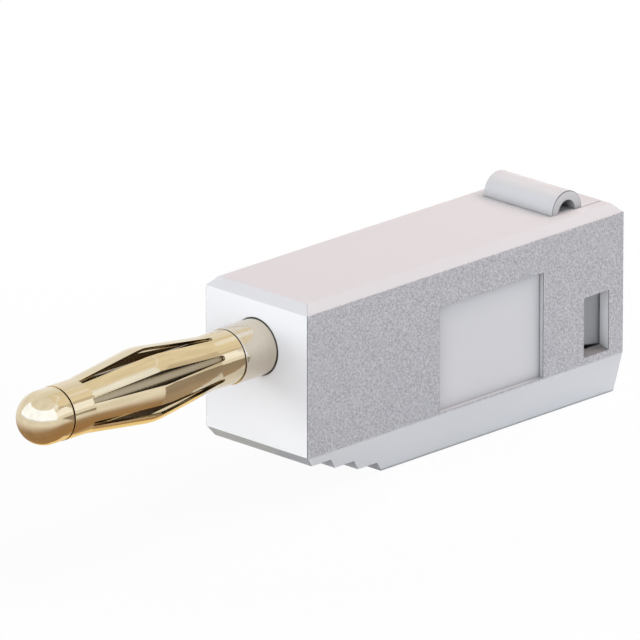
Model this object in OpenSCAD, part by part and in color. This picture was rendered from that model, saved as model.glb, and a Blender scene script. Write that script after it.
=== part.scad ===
// Banana plug for 4 mm sockets, with a box-shaped insulator that its user wires.
// The origin is on the pin's axis, at the housing's front face. +X points to the pin's tip and +Z is up.
// All sizes are in millimetres.

/* [Pin] */
// Length of the pin in front of the housing
pin_length = 19; // [18:0.25:22]
// Diameter of the smooth collar next to the housing
collar_d = 3.42; // [3.3:0.02:3.7]
// Length of the collar in front of the housing
collar_length = 2.5; // [1.5:0.05:3]
// Diameter of the domed tip
tip_d = 3.22; // [3:0.02:3.3]
// Length of the tip, with its dome
tip_length = 2.55; // [2.4:0.05:3.4]
// Diameter of the core under the spring cage
core_d = 2.8; // [2.2:0.05:2.85]
// Depth of the core in the collar
core_seat = 4.5; // [3:0.25:6]
// Diameter of the core's spigot in the tip
spigot_d = 1.6; // [1.2:0.1:2]
// Length of the core's spigot in the tip
spigot_length = 1.5; // [1:0.1:1.8]

/* [Spring cage] */
// Number of strips round the cage
strip_count = 7; // [5:1:8]
// Width of one strip
strip_w = 1.16; // [0.9:0.02:1.2]
// Thickness of the cage's sheet
sheet = 0.2; // [0.15:0.01:0.25]
// Diameter of the closed rings at the cage's ends
ring_d = 3.28; // [3.26:0.02:3.4]
// Diameter over the crest of the strips when they are free
crest_d = 4.48; // [4.1:0.02:4.6]
// Distance from the housing's front face to the crest
crest_x = 9.5; // [8.5:0.1:10.5]
// Length of the crest that is rounded
crest_round = 1.2; // [0.6:0.1:2]
// Length of the rear ring
rear_ring = 1.7; // [1:0.05:2.2]
// Length of the front ring
front_ring = 1.6; // [1:0.05:2.2]
// Straight root of a strip before it bends outwards
strip_root = 0.15; // [0.1:0.01:0.4]
// Play of the cage at each end
cage_play = 0.05; // [0.03:0.01:0.15]
// Angle of the first slot above the +Y side
slot_turn = 25; // [0:1:51]

/* [Housing] */
// Length of the housing
body_length = 26.8; // [25:0.1:32]
// Width of the housing
body_width = 8.3; // [8:0.1:10]
// Height of the sides above the pin's axis
side_above = 2.8; // [2.7:0.05:3.5]
// Depth of the sides below the pin's axis
side_below = 5.9; // [5.7:0.05:7]
// Chamfer round the top
top_chamfer = 0.55; // [0.3:0.05:0.8]
// Height of the slanted keel below the sides
keel_drop = 2.72; // [2.4:0.04:3.2]
// Inset of the keel's bottom on each side
keel_inset = 0.76; // [0.4:0.04:1]
// Number of grip teeth under the nose
tooth_count = 4; // [2:1:5]
// Pitch of the grip teeth
tooth_pitch = 2.13; // [1.6:0.01:2.3]
// Slant of a tooth's face towards the rear
tooth_slant = 0.55; // [0.3:0.05:0.9]
// Thickness of the side walls
wall = 0.75; // [0.65:0.05:0.9]
// Thickness of the top wall
roof = 1; // [0.8:0.05:1.1]
// Thickness of the bottom wall
sole = 1; // [0.8:0.05:1.2]
// Thickness of the front wall
front_wall = 2; // [1.5:0.1:2.5]
// Gap round the collar in the front wall
collar_gap = 0.04; // [0.03:0.01:0.12]

/* [Side recess] */
// Distance from the front face to the recess
recess_front = 11.1; // [9:0.1:12]
// Length of the recess
recess_length = 8.8; // [7:0.1:10]
// Height of the recess, from the lower edge of the side
recess_height = 6.56; // [5:0.02:7]
// Depth of the recess
recess_depth = 0.3; // [0.1:0.02:0.4]

/* [Windows] */
// Distance from the rear end to the windows
window_rear = 1.26; // [1:0.02:1.6]
// Length of a window
window_length = 2.1; // [1.6:0.05:2.4]
// Height of a window
window_height = 3.74; // [3:0.02:4]
// Height of a window's sill above the lower edge of the side
window_sill = 0.37; // [0.2:0.01:0.6]
// Rise of a window's sill towards the inside
sill_rise = 0.19; // [0:0.01:0.3]

/* [Strap and rear cap] */
// Outer diameter of the half-round strap
strap_d = 2.54; // [2.3:0.02:2.8]
// Thickness of the strap
strap_sheet = 0.59; // [0.4:0.01:0.7]
// Width of the strap and of the cap's top flange
strap_width = 5.6; // [4.8:0.1:5.8]
// Distance from the rear end to the strap's middle
strap_rear = 3.5; // [3.2:0.05:3.8]
// Gap round the cap
cap_gap = 0.08; // [0.04:0.01:0.1]
// Gap above the cap's shoulders, which pass under the roof as the cap swings
shoulder_gap = 0.3; // [0.25:0.01:0.5]
// Thickness of the cap's rear wall
cap_wall = 1.2; // [0.9:0.05:1.25]
// Depth of the flange's root below the top wall
flange_root = 0.4; // [0.3:0.05:0.6]
// Thickness of the cap's side arms
arm_sheet = 0.7; // [0.5:0.05:0.75]
// Overlap of an arm past the edges of its window
arm_lap = 0.28; // [0.15:0.01:0.4]
// Rise of an arm's lower edge towards its front end
arm_lift = 0.42; // [0.2:0.01:0.6]
// Diameter of the cable's hole
cable_d = 3.8; // [3:0.1:3.9]
// Length of the guide tube inside the cap
tube_length = 4.2; // [3:0.1:5]
// Wall of the guide tube
tube_wall = 0.5; // [0.4:0.05:0.6]
// Flare of the cable's hole at the rear
cable_flare = 0.35; // [0.2:0.05:0.5]

/* [Terminal] */
// Depth of the wire's axis below the pin's axis
wire_drop = 0.6; // [0.4:0.05:1]
// Diameter of the wire's hole
wire_d = 2.7; // [2.2:0.1:3]
// Depth of the wire's hole
wire_depth = 7; // [5:0.25:7.5]
// Length of the terminal block
block_length = 8.5; // [8:0.25:10]
// Depth of the block below the pin's axis
block_below = 5; // [4.8:0.05:5.2]
// Gap between the block and the walls
block_gap = 0.1; // [0.05:0.01:0.15]
// Chamfer of the block's long edges
block_chamfer = 0.4; // [0.2:0.05:0.6]
// Gap between the block and the guide tube
tube_gap = 0.1; // [0.05:0.01:0.2]
// Diameter of the shank between the front wall and the block
shank_d = 4.4; // [4:0.1:4.5]
// Diameter of the clamp screw
screw_d = 3; // [2.5:0.1:3]
// Radial gap of the screw in its hole
screw_gap = 0.02; // [0.01:0.005:0.03]
// Width of the screw's slot
screw_slot = 0.5; // [0.4:0.05:0.7]
// Depth of the screw's slot
screw_slot_depth = 0.8; // [0.5:0.05:1]
// Chamfer at the screw's ends
screw_chamfer = 0.35; // [0.2:0.05:0.5]
// Gap between the screw's point and the wire's hole
screw_shy = 0.1; // [0.05:0.01:0.3]
// Thickness of the ribs that carry the block
rib_sheet = 0.9; // [0.6:0.05:1.2]
// Distance between the ribs
rib_span = 2.4; // [1.8:0.1:2.6]

/* [Hidden] */
$fn = 96;
// Overlap of the cuts past a surface
over = 1;
// Flats that round the crest
crest_flats = 5;

top_z = side_above + top_chamfer;
bottom_z = -side_below - keel_drop;
half_width = body_width / 2;
keel_slope = keel_inset / keel_drop;
tooth_drop = keel_drop / tooth_count;

roof_z = top_z - roof;
sole_z = bottom_z + sole;
inner_half = half_width - wall;

cage_rear = collar_length + cage_play;
cage_front = pin_length - tip_length - cage_play;
slot_rear = cage_rear + rear_ring;
slot_front = cage_front - front_ring;
rear_bend = slot_rear + strip_root;
front_bend = slot_front - strip_root;
rear_run = crest_x - rear_bend;
front_run = front_bend - crest_x;
crest_half = crest_round / 2;
// Rise of the cones to the point where they would meet, above the rounded crest
kink_rise = (crest_d - ring_d) / 2 / (1 - crest_half * (1 / rear_run + 1 / front_run) / 4);
rear_slope = kink_rise / rear_run;
front_slope = kink_rise / front_run;

strap_x = strap_rear - body_length;
strap_hole_r = strap_d / 2 - strap_sheet;
flange_x = strap_x - strap_hole_r;

window_front_x = window_rear + window_length - body_length;
window_z = window_sill - side_below;
window_top_z = window_z + window_height;

cap_x = cap_wall - body_length;
tube_x = cap_x + tube_length;
tube_d = cable_d + 2 * tube_wall;
arm_x = window_front_x + arm_lap;
arm_z = window_z + sill_rise;
arm_top_z = window_top_z + arm_lap;
// The shoulders lean back by their own depth, because the cap swings about the strap's crown.
shoulder_z = roof_z - shoulder_gap;
shoulder_drop = cap_wall;

block_rear_x = tube_x + tube_gap;
block_front_x = block_rear_x + block_length;
screw_x = block_rear_x + wire_depth / 2;
screw_top_z = -wire_drop - wire_d / 2 - screw_shy;

// Extrudes a Y-Z outline along X.
module along_x(from, to) {
    translate([from, 0, 0]) rotate([90, 0, 90]) linear_extrude(to - from) children();
}

// Extrudes an X-Z outline along Y, both ways from the middle.
module along_y(width) {
    rotate([90, 0, 0]) linear_extrude(width, center = true) children();
}

// A round bar along X.
module bar_x(from, to, d) {
    translate([from, 0, 0]) rotate([0, 90, 0]) cylinder(h = to - from, d = d);
}

// A box given by its lowest and highest corners.
module block(low, high) {
    translate(low) cube(high - low);
}

// The keel's half width at a height, for a side wall at the given half width.
function keel_half(side, z) = side - keel_slope * max(0, -side_below - z);

// The saw-tooth steps under the nose: each tooth slants back and down, then runs level to the next.
function grip_steps() = [
    for (i = [0 : tooth_count - 1])
        each [
            [-i * tooth_pitch, -side_below - i * tooth_drop],
            [-i * tooth_pitch - tooth_slant, -side_below - (i + 1) * tooth_drop],
        ]
];

module outer_section() {
    shoulder = half_width - top_chamfer;
    keel = half_width - keel_inset;
    polygon([
        [-keel, bottom_z], [keel, bottom_z], [half_width, -side_below], [half_width, side_above],
        [shoulder, top_z], [-shoulder, top_z], [-half_width, side_above], [-half_width, -side_below],
    ]);
}

module side_profile() {
    polygon(concat(
        [[-top_chamfer, top_z], [0, side_above]],
        grip_steps(),
        [[-body_length, bottom_z], [-body_length, side_above], [top_chamfer - body_length, top_z]]
    ));
}

// The cavity's section, shrunk by a gap on every side.
module inner_section(gap = 0) {
    side = inner_half - gap;
    low_z = sole_z + gap;
    keel = keel_half(side, low_z);
    polygon([
        [-keel, low_z], [keel, low_z], [side, -side_below],
        [side, roof_z - gap], [-side, roof_z - gap], [-side, -side_below],
    ]);
}

// The cavity's side view: its floor rises towards the nose, a sole's thickness above the grip steps.
module inner_profile() {
    slope = tooth_drop / tooth_pitch;
    nose_z = sole - side_below - tooth_drop + slope * (tooth_pitch - front_wall);
    polygon([
        [-front_wall, roof_z], [-front_wall, nose_z],
        [-front_wall - (nose_z - sole_z) / slope, sole_z],
        [-body_length - over, sole_z], [-body_length - over, roof_z],
    ]);
}

module housing() {
    color("gainsboro") {
        difference() {
            intersection() {
                along_x(-body_length, 0) outer_section();
                along_y(body_width + over) side_profile();
            }
            intersection() {
                along_x(-body_length - over, over) inner_section();
                along_y(body_width) inner_profile();
            }
            bar_x(-front_wall - over, over, collar_d + 2 * collar_gap);
            roof_notch();
            side_windows();
            side_recess();
        }
        block_ribs();
    }
}

// The notch in the top wall that the cap's flange fills.
module roof_notch() {
    half = strap_width / 2 + cap_gap;
    block([-body_length - over, -half, roof_z - over], [flange_x + cap_gap, half, top_z + over]);
}

// Both windows in one cut. Their sills rise towards the inside.
module side_windows() {
    out = half_width + over;
    sill_z = window_z + sill_rise;
    along_x(window_front_x - window_length, window_front_x) polygon([
        [-out, window_top_z], [-out, window_z], [-half_width, window_z], [-inner_half, sill_z],
        [inner_half, sill_z], [half_width, window_z], [out, window_z], [out, window_top_z],
    ]);
}

module side_recess() {
    block(
        [-recess_front - recess_length, half_width - recess_depth, -side_below],
        [-recess_front, half_width + over, recess_height - side_below]
    );
}

// The two ribs on the floor that carry the terminal block.
module block_ribs() {
    for (side = [-1, 1])
        translate([0, side * rib_span / 2, 0])
            block([block_rear_x, -rib_sheet / 2, sole_z - sole / 2], [block_front_x, rib_sheet / 2, -block_below]);
}

module rear_cap() {
    color("gainsboro") difference() {
        union() {
            intersection() {
                along_x(-body_length, cap_x) inner_section(cap_gap);
                along_y(body_width) cap_profile();
            }
            along_y(strap_width) flange_profile();
            for (side = [-1, 1]) on_side(side) cap_arm();
            translate([0, 0, -wire_drop]) bar_x(cap_x - cap_wall / 2, tube_x, tube_d);
        }
        translate([0, 0, -wire_drop]) {
            bar_x(-body_length - over, tube_x + over, cable_d);
            translate([-body_length, 0, 0]) rotate([0, 90, 0])
                cylinder(h = cable_flare, d1 = cable_d + 2 * cable_flare, d2 = cable_d);
        }
    }
}

// Mirrors a piece to the given side of the middle.
module on_side(side) {
    if (side > 0) children();
    else mirror([0, 1, 0]) children();
}

// The cap's rear wall from the side, with its shoulders leaning back.
module cap_profile() {
    polygon([
        [-body_length, bottom_z], [cap_x, bottom_z],
        [cap_x, shoulder_z - shoulder_drop], [-body_length, shoulder_z],
    ]);
}

// The cap's top flange from the side: flush with the top, with the housing's rear chamfer.
module flange_profile() {
    root_z = roof_z - flange_root;
    polygon([
        [-body_length, root_z - shoulder_drop], [cap_x, root_z - shoulder_drop], [cap_x, root_z],
        [flange_x, roof_z], [flange_x, top_z],
        [top_chamfer - body_length, top_z], [-body_length, side_above],
    ]);
}

// The arm on the +Y side, which lies behind the window. Its lower edge rises to the front.
module cap_arm() {
    root_x = cap_x - cap_wall / 2;
    translate([0, inner_half - cap_gap - arm_sheet / 2, 0]) along_y(arm_sheet) polygon([
        [root_x, arm_z], [cap_x, arm_z], [arm_x, arm_z + arm_lift], [arm_x, arm_top_z], [root_x, arm_top_z],
    ]);
}

module hinge_strap() {
    color("gainsboro") translate([strap_x, 0, top_z]) difference() {
        rotate([90, 0, 0]) cylinder(h = strap_width, d = strap_d, center = true);
        rotate([90, 0, 0]) cylinder(h = strap_width + over, r = strap_hole_r, center = true);
        translate([0, 0, -strap_d / 2]) cube([strap_d + over, strap_width + over, strap_d], center = true);
    }
}

// The turned and milled body of the contact: collar, shank and terminal block.
module contact_body() {
    color("goldenrod") difference() {
        union() {
            bar_x(-front_wall - over, collar_length, collar_d);
            bar_x(block_front_x - over, -front_wall, shank_d);
            along_x(block_rear_x, block_front_x) block_section();
        }
        bar_x(collar_length - core_seat, collar_length + over, core_d);
        translate([0, 0, -wire_drop]) bar_x(block_rear_x - over, block_rear_x + wire_depth, wire_d);
        translate([screw_x, 0, -block_below - over])
            cylinder(h = block_below + over - wire_drop, d = screw_d);
    }
}

module block_section() {
    side = inner_half - block_gap;
    high = roof_z - block_gap;
    c = block_chamfer;
    polygon([
        [-side + c, -block_below], [side - c, -block_below], [side, c - block_below], [side, high - c],
        [side - c, high], [-side + c, high], [-side, high - c], [-side, c - block_below],
    ]);
}

// A slotted grub screw, flush with the block's underside.
module clamp_screw() {
    r = screw_d / 2 - screw_gap;
    length = screw_top_z + block_below;
    color("silver") translate([screw_x, 0, -block_below]) difference() {
        rotate_extrude() polygon([
            [0, 0], [r - screw_chamfer, 0], [r, screw_chamfer],
            [r, length - screw_chamfer], [r - screw_chamfer, length], [0, length],
        ]);
        cube([screw_d, screw_slot, 2 * screw_slot_depth], center = true);
    }
}

module core_rod() {
    color("darkgray") {
        bar_x(collar_length - core_seat, pin_length - tip_length, core_d);
        bar_x(pin_length - tip_length - over, pin_length - tip_length + spigot_length, spigot_d);
    }
}

// The cage's outer radius along X: rings at the ends, two cones, and a parabola that rounds the crest.
function cage_r(x) =
    let (off = x - crest_x, kink = ring_d / 2 + kink_rise)
    off <= -crest_half ? max(ring_d / 2, kink + rear_slope * off) :
    off >= crest_half ? max(ring_d / 2, kink - front_slope * off) :
    kink + off * (rear_slope - front_slope) / 2
        - (rear_slope + front_slope) * (off * off + crest_half * crest_half) / (4 * crest_half);

module lamella_cage() {
    crest = [for (i = [0 : crest_flats]) crest_x - crest_half + crest_round * i / crest_flats];
    stations = concat([cage_rear, rear_bend], crest, [front_bend, cage_front]);
    outer = [for (x = stations) [cage_r(x), x]];
    inner = [for (i = [len(stations) - 1 : -1 : 0]) [cage_r(stations[i]) - sheet, stations[i]]];
    color("gold") difference() {
        rotate([0, 90, 0]) rotate_extrude() polygon(concat(outer, inner));
        for (i = [0 : strip_count - 1])
            rotate([slot_turn - 90 + i * 360 / strip_count, 0, 0])
                translate([0, 0, core_d / 2]) linear_extrude(crest_d) cage_slot();
    }
}

// One slot from above: it widens to the crest, because the strips keep their width, and its rear end is round.
module cage_slot() {
    end_half = slot_half(ring_d / 2);
    crest = slot_half(crest_d / 2);
    polygon([
        [slot_rear, -end_half], [crest_x, -crest], [slot_front, -end_half],
        [slot_front, end_half], [crest_x, crest], [slot_rear, end_half],
    ]);
    translate([slot_rear, 0]) circle(r = end_half);
}

function slot_half(r) = PI * r / strip_count - strip_w / 2;

module pin_tip() {
    rear = pin_length - tip_length;
    color("gold") difference() {
        union() {
            bar_x(rear, pin_length - tip_d / 2, tip_d);
            intersection() {
                translate([pin_length - tip_d / 2, 0, 0]) sphere(d = tip_d);
                bar_x(pin_length - tip_d / 2, pin_length + over, tip_d + over);
            }
        }
        bar_x(rear - over, rear + spigot_length, spigot_d);
    }
}

housing();
rear_cap();
hinge_strap();
contact_body();
clamp_screw();
core_rod();
lamella_cage();
pin_tip();
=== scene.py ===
# %% [markdown]
# # A banana plug on a white table
#
# The plug is a box-shaped plastic insulator with a sprung, gold-plated pin at its nose.
# The solids of every piece come from CAD. This file loads them as a frame that stays fixed,
# and gives the part its finish: fine surfaces for the pin, softened plastic edges, materials and light.

import bmesh
import bpy
import numpy as np
from mathutils import Matrix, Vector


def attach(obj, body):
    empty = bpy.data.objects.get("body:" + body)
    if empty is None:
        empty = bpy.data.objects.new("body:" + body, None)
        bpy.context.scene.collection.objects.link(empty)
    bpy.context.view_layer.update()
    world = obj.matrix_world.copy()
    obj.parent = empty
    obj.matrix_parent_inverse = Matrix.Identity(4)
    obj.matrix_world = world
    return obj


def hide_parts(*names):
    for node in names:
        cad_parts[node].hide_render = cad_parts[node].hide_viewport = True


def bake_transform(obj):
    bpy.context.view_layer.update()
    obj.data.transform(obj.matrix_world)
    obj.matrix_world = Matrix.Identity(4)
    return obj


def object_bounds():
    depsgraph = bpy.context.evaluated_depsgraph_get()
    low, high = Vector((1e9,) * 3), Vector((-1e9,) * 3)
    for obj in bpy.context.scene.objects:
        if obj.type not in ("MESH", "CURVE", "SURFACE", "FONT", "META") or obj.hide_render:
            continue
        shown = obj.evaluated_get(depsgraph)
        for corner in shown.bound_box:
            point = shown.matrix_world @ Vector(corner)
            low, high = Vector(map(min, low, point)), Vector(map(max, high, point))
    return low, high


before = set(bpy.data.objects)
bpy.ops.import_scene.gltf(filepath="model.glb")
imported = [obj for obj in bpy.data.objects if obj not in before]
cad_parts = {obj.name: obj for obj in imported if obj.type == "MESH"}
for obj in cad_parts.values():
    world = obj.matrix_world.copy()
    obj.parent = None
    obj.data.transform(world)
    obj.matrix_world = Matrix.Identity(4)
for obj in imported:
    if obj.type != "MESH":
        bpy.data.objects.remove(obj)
cad_low, cad_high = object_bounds()
MM = 0.001
print("CAD box in mm:", np.round(np.array([cad_low, cad_high]) / MM, 2).tolist())

# %% [markdown]
# ## The camera
#
# The picture is a long-lens view of the nose, with one flank on the right, from slightly above.
# A camera could be placed by eye, but the box has enough straight edges for a fit:
# azimuth, elevation, distance and lens were solved so that the box's corners land on their pixels.
# A camera looks along its own -Z, with X to the right and Y up, so these three axes are columns of its matrix.
# It is shifted along them too, and no lens shift is needed.

# %% Camera
AZIMUTH, ELEVATION = np.radians([134.349, 19.004])
CAMERA_AT = {"back": 830.3 * MM, "right": 3.702 * MM, "up": 1.538 * MM}
LENS = 802.1


def new_object(name, data):
    """An object that shows the data in the scene."""
    thing = bpy.data.objects.new(name, data)
    bpy.context.scene.collection.objects.link(thing)
    return thing


def set_axes(thing, x_axis, y_axis, z_axis, place):
    """Turns a camera or a lamp to three axes and puts it in its place. All four are columns of its matrix."""
    columns = np.column_stack([x_axis, y_axis, z_axis, place])
    thing.matrix_world = Matrix(np.vstack([columns, [0, 0, 0, 1]]).tolist())


right = np.array([np.cos(AZIMUTH), np.sin(AZIMUTH), 0])
back = np.array([
    np.sin(AZIMUTH) * np.cos(ELEVATION), -np.cos(AZIMUTH) * np.cos(ELEVATION), np.sin(ELEVATION),
])
up = np.cross(back, right)
camera_place = back * CAMERA_AT["back"] + right * CAMERA_AT["right"] + up * CAMERA_AT["up"]

camera_data = bpy.data.cameras.new("camera")
camera_data.lens = LENS
camera = new_object("camera", camera_data)
set_axes(camera, right, up, back, camera_place)
bpy.context.scene.camera = camera
print("camera at", np.round(camera_place / MM, 1).tolist(), "mm")

# %% [markdown]
# ## From arrays to meshes
#
# A surface that depends on two parameters is a grid of points, so one helper numbers the corners of a grid's
# quads. Where a grid closes on itself or shrinks to a pole, points coincide. They are welded,
# because a crack in a mesh shows as a dark line in polished metal. The last helper puts the arrays into
# a Blender mesh, turns the faces outwards, ties the piece to its body and hides the CAD node that it
# stands for. It also counts the edges that don't join two faces of the same sense. A sound piece has none.

# %% Grid helpers
WELD = 1e-7


def quad_grid(rows, columns, wrap=False):
    """Corner numbers of a grid's quads. Point (i, j) is number i * columns + j; wrap closes the columns."""
    i, j = np.meshgrid(np.arange(rows - 1), np.arange(columns if wrap else columns - 1), indexing="ij")
    k = (j + 1) % columns
    quads = [i * columns + j, i * columns + k, (i + 1) * columns + k, (i + 1) * columns + j]
    return np.stack(quads, -1).reshape(-1, 4)


def join_points(points):
    """Joins points in one place: the numbers of the points that stay, and the new number of each point."""
    keys = np.round(points / WELD).astype(np.int64)
    _, first, number = np.unique(keys, axis=0, return_index=True, return_inverse=True)
    return first, number.reshape(-1)


def weld(points, quads):
    """Quads on joined points. A quad that loses one corner becomes a triangle, and a thinner one goes."""
    first, number = join_points(points)
    quads = number[quads]
    same = quads == np.roll(quads, -1, axis=1)
    lost = same.sum(1)
    triangles = [np.delete(quads[same[:, k] & (lost == 1)], k, axis=1) for k in range(4)]
    return points[first], quads[lost == 0].tolist() + np.concatenate(triangles).tolist()


print("a grid of 3 by 4 points has", len(quad_grid(3, 4)), "quads")


# %% Pieces from points and faces
def make_piece(name, points, faces, body, slot, *nodes):
    """A smooth-shaded piece from metres and corner lists, facing outwards, on its body and in place of its nodes."""
    mesh = bpy.data.meshes.new(name)
    mesh.from_pydata(points, [], faces)
    shell = bmesh.new()
    shell.from_mesh(mesh)
    open_edges = sum(not edge.is_contiguous for edge in shell.edges)
    if shell.calc_volume(signed=True) < 0:
        mesh.flip_normals()
    shell.free()
    mesh.shade_smooth()
    piece = new_object(name, mesh)
    if body:
        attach(piece, body)
    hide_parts(*nodes)
    print(name, "has", len(mesh.polygons), "faces and", open_edges, "open or turned edges")
    return piece


# %% [markdown]
# ## Turned pieces
#
# The core and the tip are turned on a lathe, so each is a profile carried round the X axis.
# Blender's spin tool would do it, but a formula keeps every ring exact: x stays, and the radius turns through
# the angle. A small arc at each corner of the profile stands for the edge that the tool breaks,
# and gives the metal its thin bright line.


# %% Lathe
def rounded(corners, radius, steps=4):
    """A polyline with an arc of the radius in each inner corner.
    The arc is a quadratic curve: (1-t)^2 a + 2 t (1-t) corner + t^2 b, with a and b one radius from the corner."""
    corners = np.array(corners, float)
    before, corner, after = corners[:-2], corners[1:-1], corners[2:]
    t = np.linspace(0, 1, steps + 1)[None, :, None]
    a = corner + (before - corner) * radius / np.linalg.norm(before - corner, axis=1, keepdims=True)
    b = corner + (after - corner) * radius / np.linalg.norm(after - corner, axis=1, keepdims=True)
    arcs = (1 - t) ** 2 * a[:, None] + 2 * t * (1 - t) * corner[:, None] + t**2 * b[:, None]
    return np.vstack([corners[:1], arcs.reshape(-1, 2), corners[-1:]])


def lathe(profile, segments=144):
    """Turns a profile of (x, radius) rows round the X axis: (x, radius cos angle, radius sin angle)."""
    angle = np.linspace(0, 2 * np.pi, segments, endpoint=False)
    x, radius = np.array(profile).T[:, :, None]
    points = np.stack(np.broadcast_arrays(x, radius * np.cos(angle), radius * np.sin(angle)), -1)
    return weld(points.reshape(-1, 3) * MM, quad_grid(len(profile), segments, wrap=True))


print("a rounded corner has", len(rounded([(0, 0), (1, 0), (1, 1)], 0.1)) - 2, "points")

# %% Core and tip
PIN_END, TIP_REAR, TIP_R = 19.0, 16.45, 1.61
CORE_R, CORE_REAR = 1.4, -2.0
SPIGOT_R, SPIGOT_END = 0.8, 17.95
BROKEN_EDGE = 0.045
DOME_ROWS = 40

core_profile = rounded([
    (CORE_REAR, 0), (CORE_REAR, CORE_R), (TIP_REAR, CORE_R), (TIP_REAR, SPIGOT_R), (SPIGOT_END, SPIGOT_R),
    (SPIGOT_END, 0),
], BROKEN_EDGE)
core = make_piece("core", *lathe(core_profile), "plug", "nickel_plate", "core_rod")

dome = np.linspace(0, np.pi / 2, DOME_ROWS)
tip_profile = np.vstack([
    rounded([
        (SPIGOT_END, 0), (SPIGOT_END, SPIGOT_R), (TIP_REAR, SPIGOT_R), (TIP_REAR, TIP_R), (PIN_END - TIP_R, TIP_R),
    ], 2 * BROKEN_EDGE),
    np.column_stack([PIN_END - TIP_R + TIP_R * np.sin(dome), TIP_R * np.cos(dome)])[1:],
])
tip = make_piece("tip", *lathe(tip_profile), "plug", "gold_plate", "pin_tip")

# %% [markdown]
# ## The spring cage
#
# The contact is a sleeve of thin sheet with seven slots. Between the slots the strips bulge outwards, so they
# press against the socket. Cutting slots with booleans leaves long thin triangles, which spoil reflections.
# Here each strip is its own grid: x runs along it and the angle across it. Rows in the rings span the full pitch,
# so neighbouring strips weld there, and rows beside a slot stop at its edge.

# %% Cage shape
STRIPS, STRIP_W, SHEET = 7, 1.16, 0.2
RING_R, CREST_R = 1.64, 2.24
CAGE_REAR, SLOT_REAR, SLOT_FRONT, CAGE_FRONT = 2.55, 4.25, 14.8, 16.4
CREST_X, REAR_ROOT, FRONT_ROOT = 9.5, SLOT_REAR + 0.15, SLOT_FRONT - 0.15
CREST_HALF, ROOT_HALF = 0.6, 0.1
SLOT_TURN = np.radians(25)
PITCH = 2 * np.pi / STRIPS
SLOT_END_W = np.pi * RING_R / STRIPS - STRIP_W / 2
SLOT_CREST_W = np.pi * CREST_R / STRIPS - STRIP_W / 2


def cage_radius(x):
    """Rings at the ends, two straight cones between, and a parabola in each of the three bends.
    A parabola adds (change of slope) / (4 h) * (h - distance to the bend)^2 inside its half length h."""
    bends = np.array([REAR_ROOT, CREST_X, FRONT_ROOT])
    half = np.array([ROOT_HALF, CREST_HALF, ROOT_HALF])
    rise_per_kink = 1 - CREST_HALF * (1 / (bends[1] - bends[0]) + 1 / (bends[2] - bends[1])) / 4
    kink = (CREST_R - RING_R) / rise_per_kink
    slopes = np.array([0, kink / (bends[1] - bends[0]), -kink / (bends[2] - bends[1]), 0])
    near = np.clip(half - np.abs(x[:, None] - bends), 0, None)
    return RING_R + np.interp(x, bends, [0, kink, 0]) + near**2 @ (np.diff(slopes) / (4 * half))


def slot_half_width(x):
    """Half of a slot's width: a half circle at the rear end, then straight to the crest and back."""
    straight = np.interp(x, [SLOT_REAR, CREST_X, SLOT_FRONT], [SLOT_END_W, SLOT_CREST_W, SLOT_END_W])
    circle = np.sqrt(np.clip(SLOT_END_W**2 - (SLOT_REAR - x) ** 2, 0, None))
    return np.where(x < SLOT_REAR, circle, straight)


print("radius of ring and crest in mm:", cage_radius(np.array([CAGE_REAR, CREST_X])).round(3).tolist())

# %% Rows and columns of a strip
RING_STEPS, ROUND_STEPS, ROOT_STEPS, CONE_STEPS, CREST_STEPS = 7, 6, 5, 35, 16
STRIP_COLUMNS, SLOT_COLUMNS = 25, 9

apex = SLOT_REAR - SLOT_END_W
strip_x = np.concatenate([
    np.linspace(CAGE_REAR, apex, RING_STEPS + 1)[:-1],
    apex + SLOT_END_W * (1 - np.cos(np.linspace(0, np.pi / 2, ROUND_STEPS + 1))),
    np.linspace(REAR_ROOT - ROOT_HALF, REAR_ROOT + ROOT_HALF, ROOT_STEPS + 1),
    np.linspace(REAR_ROOT + ROOT_HALF, CREST_X - CREST_HALF, CONE_STEPS + 1)[1:],
    np.linspace(CREST_X - CREST_HALF, CREST_X + CREST_HALF, CREST_STEPS + 1)[1:],
    np.linspace(CREST_X + CREST_HALF, FRONT_ROOT - ROOT_HALF, CONE_STEPS + 1)[1:],
    np.linspace(FRONT_ROOT - ROOT_HALF, FRONT_ROOT + ROOT_HALF, ROOT_STEPS + 1)[1:],
    [SLOT_FRONT],
])
ring_x = np.linspace(SLOT_FRONT, CAGE_FRONT, RING_STEPS + 1)
across, slot_across = np.linspace(0, 1, STRIP_COLUMNS), np.linspace(-1, 1, SLOT_COLUMNS)
print("a strip has", len(strip_x), "rows, and the front ring", len(ring_x))


# %% Build the cage
def sheet_grid(x, angle, radius, outside):
    """Points (x, radius cos angle, radius sin angle) of a grid with rows along x, and its quads facing out or in."""
    rows, columns = angle.shape
    points = np.stack([np.repeat(x[:, None], columns, 1), radius * np.cos(angle), radius * np.sin(angle)], -1)
    quads = quad_grid(rows, columns)
    return points, quads if outside else quads[:, ::-1]


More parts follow.
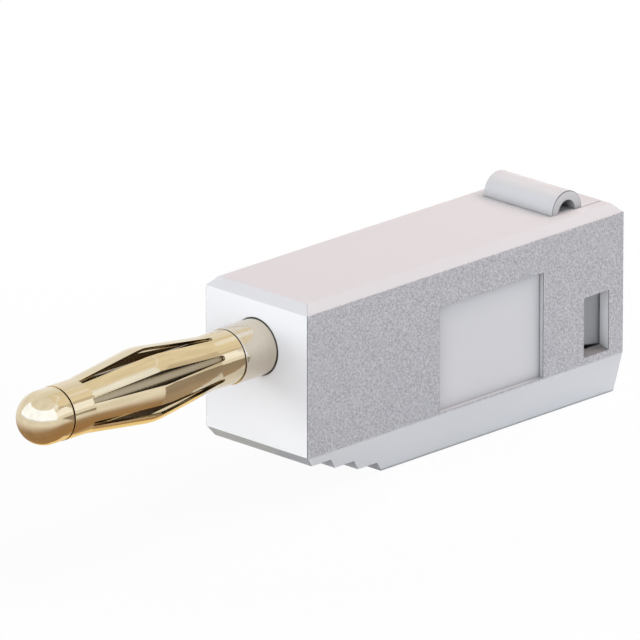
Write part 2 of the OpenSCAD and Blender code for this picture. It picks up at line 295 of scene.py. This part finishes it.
def strip_parts(middle):
    """The grids of one strip, whose slot lies at the angle middle: the outer and the inner skin, each with its share
    of the front ring, and the walls between them at the slot's sides and front and at both ends of the sleeve."""
    skins = []
    for depth, outside in ((0, True), (SHEET, False)):
        radius = (cage_radius(strip_x) - depth)[:, None]
        edge = np.arcsin(slot_half_width(strip_x)[:, None] / radius)
        skins.append(sheet_grid(strip_x, middle + edge + (PITCH - 2 * edge) * across, radius, outside))
        ring_r = (cage_radius(ring_x) - depth)[:, None]
        end_edge = np.arcsin(SLOT_END_W / ring_r)
        fan = np.concatenate([
            middle + end_edge * slot_across, middle + end_edge + (PITCH - 2 * end_edge) * across[1:],
        ], axis=1)
        skins.append(sheet_grid(ring_x, fan, ring_r, outside))
    (outer, _), (outer_ring, _), (inner, _), (inner_ring, _) = skins
    beside_slot = slice(RING_STEPS, None)
    walls = [
        (outer[beside_slot, 0], inner[beside_slot, 0]), (inner[beside_slot, -1], outer[beside_slot, -1]),
        (inner[0], outer[0]), (outer_ring[-1], inner_ring[-1]),
        (inner_ring[0, :SLOT_COLUMNS], outer_ring[0, :SLOT_COLUMNS]),
    ]
    return [(grid.reshape(-1, 3), quads) for grid, quads in skins] + [
        (np.vstack(pair), quad_grid(2, len(pair[0]))) for pair in walls
    ]


parts = [part for strip in range(STRIPS) for part in strip_parts(SLOT_TURN + strip * PITCH)]
starts = np.cumsum([0] + [len(points) for points, _ in parts])
cage_points = np.vstack([points for points, _ in parts]) * MM
cage_quads = np.vstack([quads + start for (_, quads), start in zip(parts, starts)])
cage = make_piece("cage", *weld(cage_points, cage_quads), "plug", "gold_plate", "lamella_cage")

# %% [markdown]
# ## Soft edges
#
# A cut edge of sheet is never quite sharp, and its narrow round catches the light as a thin line.
# The rounds could be rows of the grid, but Blender's bevel modifier adds them to every edge that turns by more than
# an angle. The limit keeps it off the cage's curved skin, whose faces turn by a few degrees from one to the next.

# %% Bevel
SHEET_EDGE, SHEET_TURN = 0.03 * MM, 40


def soften(piece, width, segments=2, angle=30):
    """Rounds the edges that turn by more than the angle, and keeps the flats between them flat."""
    bevel = piece.modifiers.new("soft_edges", "BEVEL")
    bevel.width = width
    bevel.segments = segments
    bevel.limit_method = "ANGLE"
    bevel.angle_limit = np.radians(angle)
    bevel.harden_normals = True
    print(piece.name, "has edges rounded by", round(width / MM, 3), "mm")


soften(cage, SHEET_EDGE, angle=SHEET_TURN)

# %% [markdown]
# ## Pieces kept from CAD
#
# The insulator, its rear cap, the terminal block and the screw already have their right shape.
# A CAD mesh is loose triangles, and its edges are perfectly sharp, which no moulding is.
# So a copy is merged at its shared corners, the seams inside flat faces are dissolved,
# and a narrow bevel rounds what is left.


# %% Merged copies
def merged_copy(node):
    """Points and faces of a CAD node's copy: corners within a tenth of a micron are one corner."""
    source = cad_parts[node].data
    points = np.empty(len(source.vertices) * 3)
    source.vertices.foreach_get("co", points)
    corners = np.empty(len(source.loops), np.int64)
    source.loops.foreach_get("vertex_index", corners)
    points, corners = points.reshape(-1, 3), corners.reshape(-1, 3)
    first, number = join_points(points)
    return points[first], number[corners].tolist()


def dissolve_flats(piece, angle=0.5):
    """Joins the triangles of each flat face into one face, so that the bevel meets clean edges."""
    shell = bmesh.new()
    shell.from_mesh(piece.data)
    bmesh.ops.dissolve_limit(shell, angle_limit=np.radians(angle), verts=shell.verts, edges=shell.edges)
    shell.to_mesh(piece.data)
    shell.free()
    piece.data.shade_smooth()


housing_corners = len(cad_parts["housing"].data.vertices)
print("the housing's", housing_corners, "corners become", len(merged_copy("housing")[0]))

# %% Insulator, cap, contact and screw
KEPT_EDGE = 0.03 * MM
kept = {
    "insulator": ("housing", "plug", "insulator"),
    "cap": ("rear_cap", "cap", "insulator"),
    "contact": ("contact_body", "plug", "gold_plate"),
    "screw": ("clamp_screw", "plug", "screw_steel"),
}
copies = {}
for name, (node, body, slot) in kept.items():
    copies[name] = make_piece(name, *merged_copy(node), body, slot, node)
    dissolve_flats(copies[name])
    soften(copies[name], KEPT_EDGE)

# %% [markdown]
# ## The strap
#
# A half-round strap joins the insulator to the cap. It is moulded in one with both, and it is the hinge: on the real
# plug it unrolls when the cap swings up, while here it keeps one shape. Its rounded cross-section is carried along a
# half circle.

# %% Strap
STRAP_X, TOP_Z = -23.3, 3.35
STRAP_OUT, STRAP_IN, STRAP_W = 1.27, 0.68, 5.6
STRAP_EDGE = 0.05
FOOT_TURN = np.radians(60)


def strap_grid(rows=64):
    """Rounded rectangle (distance from the crown's centre, y), carried through a half turn round the Y axis:
    (x, z) = centre + distance * (cos turn, sin turn)."""
    low, high = -STRAP_W / 2, STRAP_W / 2
    section = rounded([
        ((STRAP_IN + STRAP_OUT) / 2, low), (STRAP_OUT, low), (STRAP_OUT, high), (STRAP_IN, high), (STRAP_IN, low),
        ((STRAP_IN + STRAP_OUT) / 2, low),
    ], STRAP_EDGE)[:-1]
    turn = np.linspace(0, np.pi, rows)[:, None]
    distance, y = section.T
    points = np.stack([
        STRAP_X + distance * np.cos(turn), np.broadcast_to(y, (rows, len(y))), TOP_Z + distance * np.sin(turn),
    ], -1)
    quads = quad_grid(rows, len(section), wrap=True).tolist()
    feet = [list(range(len(section)))[::-1], list(range((rows - 1) * len(section), rows * len(section)))]
    return points.reshape(-1, 3) * MM, quads + feet


strap = make_piece("strap", *strap_grid(), None, "insulator", "hinge_strap")
strap.data.set_sharp_from_angle(angle=FOOT_TURN)
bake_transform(strap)

# %% [markdown]
# ## Finishes
#
# Each finish is a small network of nodes on Object coordinates, so it stays with the piece as it moves.
# One helper adds a node and fills its inputs, either with a value or with another node's output.
# Five more wrap what comes up again and again: a colour mix, a calculation, a ramp, a noise and the parts of a vector.


# %% Node helpers
def new_finish(name):
    """A material with its tree and its Principled shader."""
    finish = bpy.data.materials.new(name)
    finish.use_nodes = True
    return finish, finish.node_tree, finish.node_tree.nodes["Principled BSDF"]


def feed(tree, socket, value):
    """Links another node's output to an input socket, or else sets the socket to a value."""
    if isinstance(value, bpy.types.NodeSocket):
        tree.links.new(value, socket)
    else:
        socket.default_value = value


def add(tree, kind, inputs=(), **settings):
    """Adds a shader node of the kind. Inputs are (name or number, value or output) pairs."""
    node = tree.nodes.new("ShaderNode" + kind)
    for name, value in settings.items():
        setattr(node, name, value)
    for key, value in inputs:
        feed(tree, node.inputs[key], value)
    return node


def mix_colour(tree, share, first, second):
    """The output of a colour mix from first to second. A Mix node enables only the sockets of its type of data."""
    node = add(tree, "Mix", data_type="RGBA")
    for key, value in (("Factor", share), ("A", first), ("B", second)):
        feed(tree, next(s for s in node.inputs if s.name == key and s.enabled), value)
    return next(s for s in node.outputs if s.enabled)


def calculate(tree, operation, *values):
    """The output of a Math node."""
    return add(tree, "Math", enumerate(values), operation=operation).outputs[0]


def ramp(tree, value, low, high, at_low=0, at_high=1):
    """The output of a clamped straight line: at_low where the value is low, and at_high where it is high."""
    return add(tree, "MapRange", [
        ("Value", value), ("From Min", low), ("From Max", high), ("To Min", at_low), ("To Max", at_high),
    ]).outputs[0]


def noise(tree, place, scale, detail, *more):
    """The output of a noise texture, mostly between 0.3 and 0.7."""
    return add(tree, "TexNoise", [("Vector", place), ("Scale", scale), ("Detail", detail), *more]).outputs["Fac"]


def xyz(tree, vector):
    """The three parts of a vector, by name."""
    return add(tree, "SeparateXYZ", [("Vector", vector)]).outputs


# %% [markdown]
# ## Moulded plastic
#
# The insulator is light grey, hard and slightly silky. Its flanks carry the fine leather grain of an etched mould,
# while the chamfers, the recess and the ends are smooth. The grain is a bump of tiny cells,
# and a mask on the distance from the middle plane keeps it on the two flanks.
# Painted shade darkens the colour where light would be lost: in crevices, on the window sills, on faces that look
# down, and in a thin line on the round of each upright corner. All of it follows the shape: one occlusion node finds
# the crevices of a piece, a short one the slits between pieces, and the product of the normal's parts is large only on
# a corner's narrow round.
# The cap's arms behind the windows and the strap's upright front are painted greyer too, as painted shade. The strap
# is glossier, so the roof shows in its foot.

# %% Grain, flanks and corners
GRAIN_SCALE = 8000
MASK_FAR, MASK_NEAR = 0.05 * MM, 0.01 * MM


def grain_height(tree, place):
    """Cells of the etched grain, from 0 in a valley to 1 on a ridge."""
    return ramp(tree, noise(tree, place, GRAIN_SCALE, 1.5, ("Roughness", 0.5), ("Distortion", 0.4)), 0.33, 0.67)


def flank_mask(tree, place, half_width):
    """1 on the two flanks, where |y| is the half width, and 0 elsewhere."""
    side = calculate(tree, "ABSOLUTE", xyz(tree, place)["Y"])
    return ramp(tree, side, half_width - MASK_FAR, half_width - MASK_NEAR)


def corner_mask(tree, normal, first, second):
    """Up to 1 on a round between two faces: the product of two parts of the normal is at most a half."""
    parts = xyz(tree, normal)
    both = calculate(tree, "MULTIPLY", parts[first], parts[second])
    return ramp(tree, calculate(tree, "ABSOLUTE", both), 0.05, 0.3)


# %% Ledges and crevices
LEVEL = (0.4, 0.8)
WIDE_REACH, SLIT_REACH, RAYS = 1.5 * MM, 0.2 * MM, 8
WIDE_DARK, LEDGE_DARK = 0.65, 0.3


def ledge_mask(tree, place, normal):
    """1 on what looks up below the pin's axis, such as the sill of a window."""
    low = ramp(tree, xyz(tree, place)["Z"], 0, -1 * MM)
    return calculate(tree, "MULTIPLY", low, ramp(tree, xyz(tree, normal)["Z"], *LEVEL))


def darkness(tree, ledge, slits, alone):
    """Share of lost light, from wide hollows and narrow slits, and less of it on ledges. If alone is set,
    a wide hollow is one of the piece itself."""
    wide = add(tree, "AmbientOcclusion", [("Distance", WIDE_REACH)], samples=RAYS, only_local=alone).outputs["AO"]
    narrow = add(tree, "AmbientOcclusion", [("Distance", SLIT_REACH)], samples=RAYS).outputs["AO"]
    lost = ramp(tree, wide, 1, 0.2, 0, WIDE_DARK)
    slit = ramp(tree, narrow, 0.9, 0.4, 0, slits)
    return calculate(tree, "MULTIPLY", calculate(tree, "MAXIMUM", lost, slit), ramp(tree, ledge, 0, 1, 1, LEDGE_DARK))


# %% Plastic
PLASTIC, PLASTIC_LIGHT = (0.80, 0.80, 0.815, 1), (0.83, 0.83, 0.84, 1)
GRAIN_RIDGE, GRAIN_VALLEY = (0.755, 0.75, 0.77, 1), (0.475, 0.47, 0.495, 1)
# Painted shade: the first dark grey goes into crevices and slits, the second onto the rounds of upright corners.
CREVICE_SHADE, CORNER_SHADE = (0.16, 0.15, 0.15, 1), (0.14, 0.14, 0.15, 1)
# Painted shade on faces that look down: the range of the normal's Z, and the grey they take.
UNDER, UNDERSIDE_SHADE = (-0.4, -0.6), (0.355, 0.37, 0.395, 1)
# Painted shade on the window sills, behind this x.
SILL_X, SILL_SHADE = -21 * MM, (0.40, 0.38, 0.375, 1)
UPRIGHT = (0.45, 1)
GLOSS, FRONT_GLOSS, BUMP = 0.35, 0.5, 0.8
CLOUD_SCALE, SKIN_SCALE, SKIN_HEIGHT, GRAIN_DEPTH = 220, 9000, 0.03, 0.05 * MM


def plastic_finish(name, roughness, slits, flank=None, corners=(), front=None):
    """Light grey plastic with faint clouding, a fine skin, and painted shade in crevices, on corner rounds, on sills
    and on the underside. slits is the darkness of slits beside other pieces. flank is a half width with either the
    grain on it (None) or a plain tone, which is painted shade. front is a painted shade for what looks to the front,
    and such a piece shades by its neighbours."""
    finish, tree, shader = new_finish(name)
    coordinates = add(tree, "TexCoord").outputs
    place, normal = coordinates["Object"], coordinates["Normal"]
    colour = mix_colour(tree, noise(tree, place, CLOUD_SCALE, 2), PLASTIC, PLASTIC_LIGHT)
    height = calculate(tree, "MULTIPLY", noise(tree, place, SKIN_SCALE, 2), SKIN_HEIGHT)
    if flank:
        half_width, tone = flank
        mask = flank_mask(tree, place, half_width)
        if tone is None:
            ridge = grain_height(tree, place)
            tone = mix_colour(tree, ridge, GRAIN_VALLEY, GRAIN_RIDGE)
            height = calculate(tree, "ADD", calculate(tree, "MULTIPLY", ridge, mask), height)
        # A given flank tone is painted shade, as on the cap's arms behind the windows; the grain is the plastic's own.
        colour = mix_colour(tree, mask, colour, tone)
    # Painted shade: a thin dark line on the round of each listed corner.
    for first, second in corners:
        colour = mix_colour(tree, corner_mask(tree, normal, first, second), colour, CORNER_SHADE)
    # Painted shade on the faces that look down.
    colour = mix_colour(tree, ramp(tree, xyz(tree, normal)["Z"], *UNDER), colour, UNDERSIDE_SHADE)
    ledge = ledge_mask(tree, place, normal)
    rear = ramp(tree, xyz(tree, place)["X"], SILL_X, SILL_X - MM)
    # Painted shade: ledges below the axis near the rear take a darker grey.
    colour = mix_colour(tree, calculate(tree, "MULTIPLY", ledge, rear), colour, SILL_SHADE)
    # Painted shade: what looks to the front takes the given darker tone.
    if front:
        colour = mix_colour(tree, ramp(tree, xyz(tree, normal)["X"], *UPRIGHT), colour, front)
    # Painted shade: the occlusion darkness turns the colour towards a dark grey in crevices and slits.
    colour = mix_colour(tree, darkness(tree, ledge, slits, not front), colour, CREVICE_SHADE)
    bump = add(tree, "Bump", [("Strength", BUMP), ("Distance", GRAIN_DEPTH), ("Height", height)])
    feed(tree, shader.inputs["Base Color"], colour)
    feed(tree, shader.inputs["Normal"], bump.outputs[0])
    shader.inputs["Roughness"].default_value = roughness
    shader.inputs["Specular IOR Level"].default_value = FRONT_GLOSS if front else GLOSS
    return finish


# %% Plastic on its pieces
FLANK_Y = 4.15 * MM
# Painted shade: a dark grey for the cap's arms seen through the windows, and a grey for the strap's upright front.
LATCH_Y, LATCH_SHADE = 3.32 * MM, (0.43, 0.43, 0.435, 1)
STRAP_FRONT_SHADE = (0.64, 0.64, 0.645, 1)

finishes = {
    copies["insulator"]: plastic_finish("grained_plastic", 0.45, 0.8, (FLANK_Y, None), ["XY"]),
    copies["cap"]: plastic_finish("cap_plastic", 0.4, 0.1, (LATCH_Y, LATCH_SHADE)),
    strap: plastic_finish("strap_plastic", 0.18, 0.5, None, ["XY", "YZ"], STRAP_FRONT_SHADE),
}
for piece, finish in finishes.items():
    piece.data.materials.append(finish)
    print(piece.name, "is made of", finish.name, "with", len(finish.node_tree.nodes), "nodes")

# %% [markdown]
# ## Gold, nickel and steel
#
# The cage and the tip are plated with pale gold over drawn metal, so they are mirrors with fine streaks along them.
# The collar is turned, and its plating is paler, almost cream. The core between the strips is nickel and duller,
# and the sheet's inner side is painted dark brown, as painted shade that keeps the slots dark.
# Colour, roughness and bump all come from noise that is stretched along or round the axis.

# %% Metals
MARK_DEPTH = 0.004 * MM
ALONG_AXIS, ROUND_AXIS, EVEN = (120, 9000, 9000), (9000, 300, 300), (3000, 3000, 3000)


def metal_finish(name, bright, dull, stretch, roughness, mark):
    """A metal with streaks between two colours, and finer marks. Both are noise with X, Y and Z scaled by stretch."""
    finish, tree, shader = new_finish(name)
    place = add(tree, "TexCoord").outputs["Object"]
    stretched = add(tree, "Mapping", [("Vector", place), ("Scale", stretch)]).outputs[0]
    streaks = ramp(tree, noise(tree, stretched, 0.3, 3), 0.3, 0.7)
    marks = noise(tree, stretched, 1, 3)
    bump = add(tree, "Bump", [("Strength", mark), ("Distance", MARK_DEPTH), ("Height", marks)])
    feed(tree, shader.inputs["Base Color"], mix_colour(tree, streaks, bright, dull))
    feed(tree, shader.inputs["Roughness"], ramp(tree, marks, 0, 1, *roughness))
    feed(tree, shader.inputs["Normal"], bump.outputs[0])
    shader.inputs["Metallic"].default_value = 1
    return finish


gold = metal_finish("pale_gold", (0.77, 0.655, 0.45, 1), (0.64, 0.54, 0.36, 1), ALONG_AXIS, (0.06, 0.12), 0.12)
cream = metal_finish("cream_gold", (0.69, 0.62, 0.505, 1), (0.65, 0.58, 0.465, 1), ROUND_AXIS, (0.05, 0.1), 0.08)
# Painted shade: a dark brown for the sheet's inner side, which keeps the slots dark.
inner_shade = metal_finish("inner_shade_sheet", (0.26, 0.19, 0.11, 1), (0.18, 0.13, 0.08, 1), ALONG_AXIS, (0.4, 0.55), 0.3)
nickel = metal_finish("nickel", (0.40, 0.33, 0.22, 1), (0.31, 0.25, 0.16, 1), ALONG_AXIS, (0.2, 0.35), 0.3)
steel = metal_finish("steel", (0.46, 0.46, 0.47, 1), (0.36, 0.36, 0.38, 1), EVEN, (0.3, 0.45), 0.2)
print("metals:", *(metal.name for metal in (gold, cream, inner_shade, nickel, steel)))

# %% Metals on their pieces
INWARD = -0.5

for piece, finish in ((tip, gold), (cage, gold), (copies["contact"], cream), (core, nickel), (copies["screw"], steel)):
    piece.data.materials.append(finish)
# The inner faces of the cage take the dark brown painted shade.
cage.data.materials.append(inner_shade)


def faces_axis(mesh):
    """1 for each face that looks towards the X axis: the cosine between its normal and the way out is below INWARD."""
    normals, middles = np.empty((2, len(mesh.polygons) * 3))
    mesh.polygons.foreach_get("normal", normals)
    mesh.polygons.foreach_get("center", middles)
    outward = (normals * middles).reshape(-1, 3)[:, 1:].sum(1)
    return (outward < INWARD * np.linalg.norm(middles.reshape(-1, 3)[:, 1:], axis=1)).astype(np.int32)


inside = faces_axis(cage.data)
cage.data.polygons.foreach_set("material_index", inside)
print("raw faces inside the cage:", inside.sum())

# %% [markdown]
# ## The white table
#
# The picture's ground is plain white. The floor is a pale sheet that keeps a faint shadow of the plug near it,
# and further out it turns to pure white for the camera and for reflections, so no horizon shows.
# The light that the floor sends back to the plug is the same as from any pale sheet.

# %% Floor
FLOOR_HALF, FLOOR_Z = 3.0, cad_low.z
TABLE = (0.82, 0.90, 0.94, 1)
FADE_START, FADE_END, NEAR_WHITE = 20 * MM, 50 * MM, 0.95

floor_points = np.array([[-1, -1, 0], [1, -1, 0], [1, 1, 0], [-1, 1, 0]]) * FLOOR_HALF + [0, 0, FLOOR_Z]
floor_mesh = bpy.data.meshes.new("floor")
floor_mesh.from_pydata(floor_points, [], [(0, 1, 2, 3)])
floor = new_object("floor", floor_mesh)


def seen_share(tree):
    """1 for rays from the camera, from gloss and through glass, and 0 for light that falls on the plug."""
    path = add(tree, "LightPath").outputs
    either = calculate(tree, "MAXIMUM", path["Is Camera Ray"], path["Is Glossy Ray"])
    return calculate(tree, "MAXIMUM", either, path["Is Transmission Ray"])


table, tree, shader = new_finish("white_table")
shader.inputs["Base Color"].default_value = TABLE
shader.inputs["Roughness"].default_value = 0.8
floor_place = add(tree, "TexCoord").outputs["Object"]
away = add(tree, "VectorMath", [(0, floor_place)], operation="LENGTH").outputs["Value"]
white_share = calculate(tree, "MULTIPLY", ramp(tree, away, FADE_START, FADE_END, NEAR_WHITE, 1), seen_share(tree))
glow = add(tree, "Emission", [("Strength", 1)])
surface = add(tree, "MixShader", [("Fac", white_share), (1, shader.outputs[0]), (2, glow.outputs[0])])
tree.links.new(surface.outputs[0], tree.nodes["Material Output"].inputs["Surface"])
floor_mesh.materials.append(table)
print("floor at", round(FLOOR_Z / MM, 2), "mm")

# %% [markdown]
# ## Light
#
# Three large soft lamps light the plug: one in front of the nose, a warmer one above and behind,
# and a weak one on the right. The pale floor sends much of their light back up.
# Lamps are left out of mirrors here, because the pin would show them as hard squares.

# %% Lamps
PLUG_MIDDLE = np.array([-5 * MM, 0, -2 * MM])


def soft_lamp(name, towards, size, irradiance, colour, distance=0.6):
    """A lamp of a width and height that faces the plug from a direction. A lamp of radiance L and area a
    at distance d gives about L a / d^2, and its power is pi a L, so the size drops out of the power."""
    towards = np.array(towards, float) / np.linalg.norm(towards)
    across = np.cross([0, 0, 1], towards)
    across /= np.linalg.norm(across)
    data = bpy.data.lights.new(name, "AREA")
    data.shape = "RECTANGLE"
    data.size, data.size_y = size
    data.color = colour
    data.energy = np.pi * irradiance * np.pi * distance**2
    lamp = new_object(name, data)
    set_axes(lamp, across, np.cross(towards, across), towards, PLUG_MIDDLE + towards * distance)
    lamp.visible_camera = lamp.visible_glossy = False
    print(name, "has", round(data.energy, 2), "W")


soft_lamp("front_lamp", (0.99, -0.05, 0.14), (0.7, 0.16), 0.91, (0.965, 0.985, 1))
soft_lamp("back_lamp", (-0.65, 0.05, 0.76), (0.45, 0.45), 0.97, (1, 0.855, 0.825))
soft_lamp("right_lamp", (-0.4, 0.85, 0.35), (0.35, 0.35), 0.20, (0.88, 0.95, 1))

# %% [markdown]
# ## Cards for the metal
#
# Polished metal looks like what stands round it, and in an all-white room it looks flat.
# So photographers stand cards beside it. Here the cards glow and only mirrors see them, so they are painted
# reflections.
# Bright cards in front give the dome its wide shine, and two on the right give
# the long highlights. Behind the plug, a pale and a tan wall tint the upper sides of the pin, and a thin slat draws
# a line on them. Warm, brown and amber sheets on the table give the dark streak and the golden underside.
# A standing card is part of a sphere about the pin, and its azimuth is 0 in front of the tip, 90 on the right and 180
# behind. The cards are seen in mirrors only. They throw no shadow and no light on the plastic.

# %% Cards
PIN_MIDDLE = np.array([10 * MM, 0, 0])
GRADE_END = 100 * MM


def card(name, points, columns, colour, strength):
    """A glowing grid that only mirrors see. A list of colours is graded by the distance from the pin's middle:
    each stop is a share of GRADE_END and a colour. The first two stops are the ramp's ends."""
    mesh = bpy.data.meshes.new(name)
    mesh.from_pydata(points, [], quad_grid(len(points) // columns, columns))
    finish, tree, shader = new_finish(name)
    tree.nodes.remove(shader)
    glow = add(tree, "Emission", [("Strength", strength)])
    if isinstance(colour, list):
        place = add(tree, "TexCoord").outputs["Object"]
        away = add(tree, "VectorMath", [(0, place), (1, PIN_MIDDLE)], operation="DISTANCE").outputs["Value"]
        grade = add(tree, "ValToRGB", [("Fac", ramp(tree, away, 0, GRADE_END))])
        for k, (stop, tone) in enumerate(colour):
            mark = grade.color_ramp.elements[k] if k < 2 else grade.color_ramp.elements.new(stop)
            mark.position, mark.color = stop, (*tone, 1)
        tree.links.new(grade.outputs["Color"], glow.inputs["Color"])
    else:
        glow.inputs["Color"].default_value = (*colour, 1)
    tree.links.new(glow.outputs[0], tree.nodes["Material Output"].inputs["Surface"])
    mesh.materials.append(finish)
    sheet = new_object(name, mesh)
    sheet.visible_camera = sheet.visible_diffuse = sheet.visible_transmission = sheet.visible_shadow = False
    print(name, "is a card of", len(points), "points")


# %% Places for cards
CARD_ROWS = 9
LYING_UP, OBLONG_UP = 0.04 * MM, 0.08 * MM


def standing(azimuths, heights, reach=0.5, columns=24):
    """Part of a sphere about the pin: reach (cos height cos azimuth, cos height sin azimuth, sin height)."""
    height, azimuth = np.meshgrid(
        np.radians(np.linspace(*heights, CARD_ROWS)), np.radians(np.linspace(*azimuths, columns)), indexing="ij",
    )
    rays = [np.cos(height) * np.cos(azimuth), np.cos(height) * np.sin(azimuth), np.sin(height)]
    return PIN_MIDDLE + reach * np.stack(rays, -1).reshape(-1, 3), columns


def lying(azimuths, radii, columns=48):
    """Part of a ring on the table about the pin: (radius cos azimuth, radius sin azimuth), just above the floor."""
    radius, azimuth = np.meshgrid(np.array(radii) * MM, np.radians(np.linspace(*azimuths, columns)), indexing="ij")
    flat = np.full_like(radius, FLOOR_Z + LYING_UP)
    points = np.stack([PIN_MIDDLE[0] + radius * np.cos(azimuth), radius * np.sin(azimuth), flat], -1)
    return points.reshape(-1, 3), columns


def oblong(across_x, across_y):
    """Corners of a rectangle on the table, from ranges of x and y in mm, above the rings."""
    x, y = np.meshgrid(np.array(across_x) * MM, np.array(across_y) * MM)
    return np.stack([x, y, np.full_like(x, FLOOR_Z + OBLONG_UP)], -1).reshape(-1, 3), 2


print("a ray at azimuth 90 and height 0 ends at", standing((90, 90), (0, 0))[0][0].round(3).tolist(), "m")

# %% Card set
COOL_WHITE, PALE, TAN, AMBER = (0.66, 0.755, 1.0), (0.98, 0.91, 0.77), (0.74, 0.67, 0.57), (1.0, 0.77, 0.38)
WHITE_BLUE, LIGHT_BLUE = (0.86, 0.90, 1.0), (0.82, 0.88, 1.0)
WARM_SHEET = [
    (0.1, (0.43, 0.26, 0.125)), (0.36, (1, 1, 1)), (0.17, (0.42, 0.29, 0.18)), (0.26, (0.82, 0.76, 0.73)),
]
BROWN_SHEET = [
    (0.08, (0.61, 0.45, 0.29)), (1.0, (0.37, 0.32, 0.27)), (0.16, (0.47, 0.37, 0.27)), (0.3, (0.40, 0.33, 0.28)),
]
card("front_card", *standing((-65, 105), (0, 4)), COOL_WHITE, 1.5)
card("front_band", *standing((-65, 105), (4, 46)), COOL_WHITE, 2.15)
card("right_card", *standing((105, 142), (7, 27)), WHITE_BLUE, 1.48)
card("side_card", *standing((105, 140), (36, 50)), LIGHT_BLUE, 1.35)
card("slat_card", *standing((140, 200), (46.5, 48), reach=0.49), WHITE_BLUE, 1.3)
card("pale_wall", *standing((143, 205), (30, 62)), PALE, 1)
card("tan_wall", *standing((142, 172), (0, 30)), TAN, 1)
card("tan_post", *standing((130, 143), (27, 36)), TAN, 1)
card("warm_sheet", *lying((168, 487), (0.5, 5, 15, 30, 60, 100)), WARM_SHEET, 1)
card("brown_sheet", *lying((127, 168), (0.5, 5, 15, 30, 60, 260)), BROWN_SHEET, 1)
card("amber_sheet", *oblong((-8, 14), (-9, -0.5)), AMBER, 1.05)

# %% [markdown]
# ## The room
#
# The world adds a little cool light from everywhere, and looks white to the camera and in mirrors.

# %% World
SKY, SKY_STRENGTH = (0.93, 0.95, 1, 1), 0.12

world = bpy.data.worlds.new("studio")
world.use_nodes = True
bpy.context.scene.world = world
tree = world.node_tree
sky = tree.nodes["Background"]
sky.inputs["Color"].default_value = SKY
sky.inputs["Strength"].default_value = SKY_STRENGTH
white = add(tree, "Background", [("Color", (1, 1, 1, 1)), ("Strength", 1)])
both = add(tree, "MixShader", [("Fac", seen_share(tree)), (1, sky.outputs[0]), (2, white.outputs[0])])
tree.links.new(both.outputs[0], tree.nodes["World Output"].inputs["Surface"])
bpy.context.scene.view_settings.view_transform = "Standard"
print("sky of strength", SKY_STRENGTH)
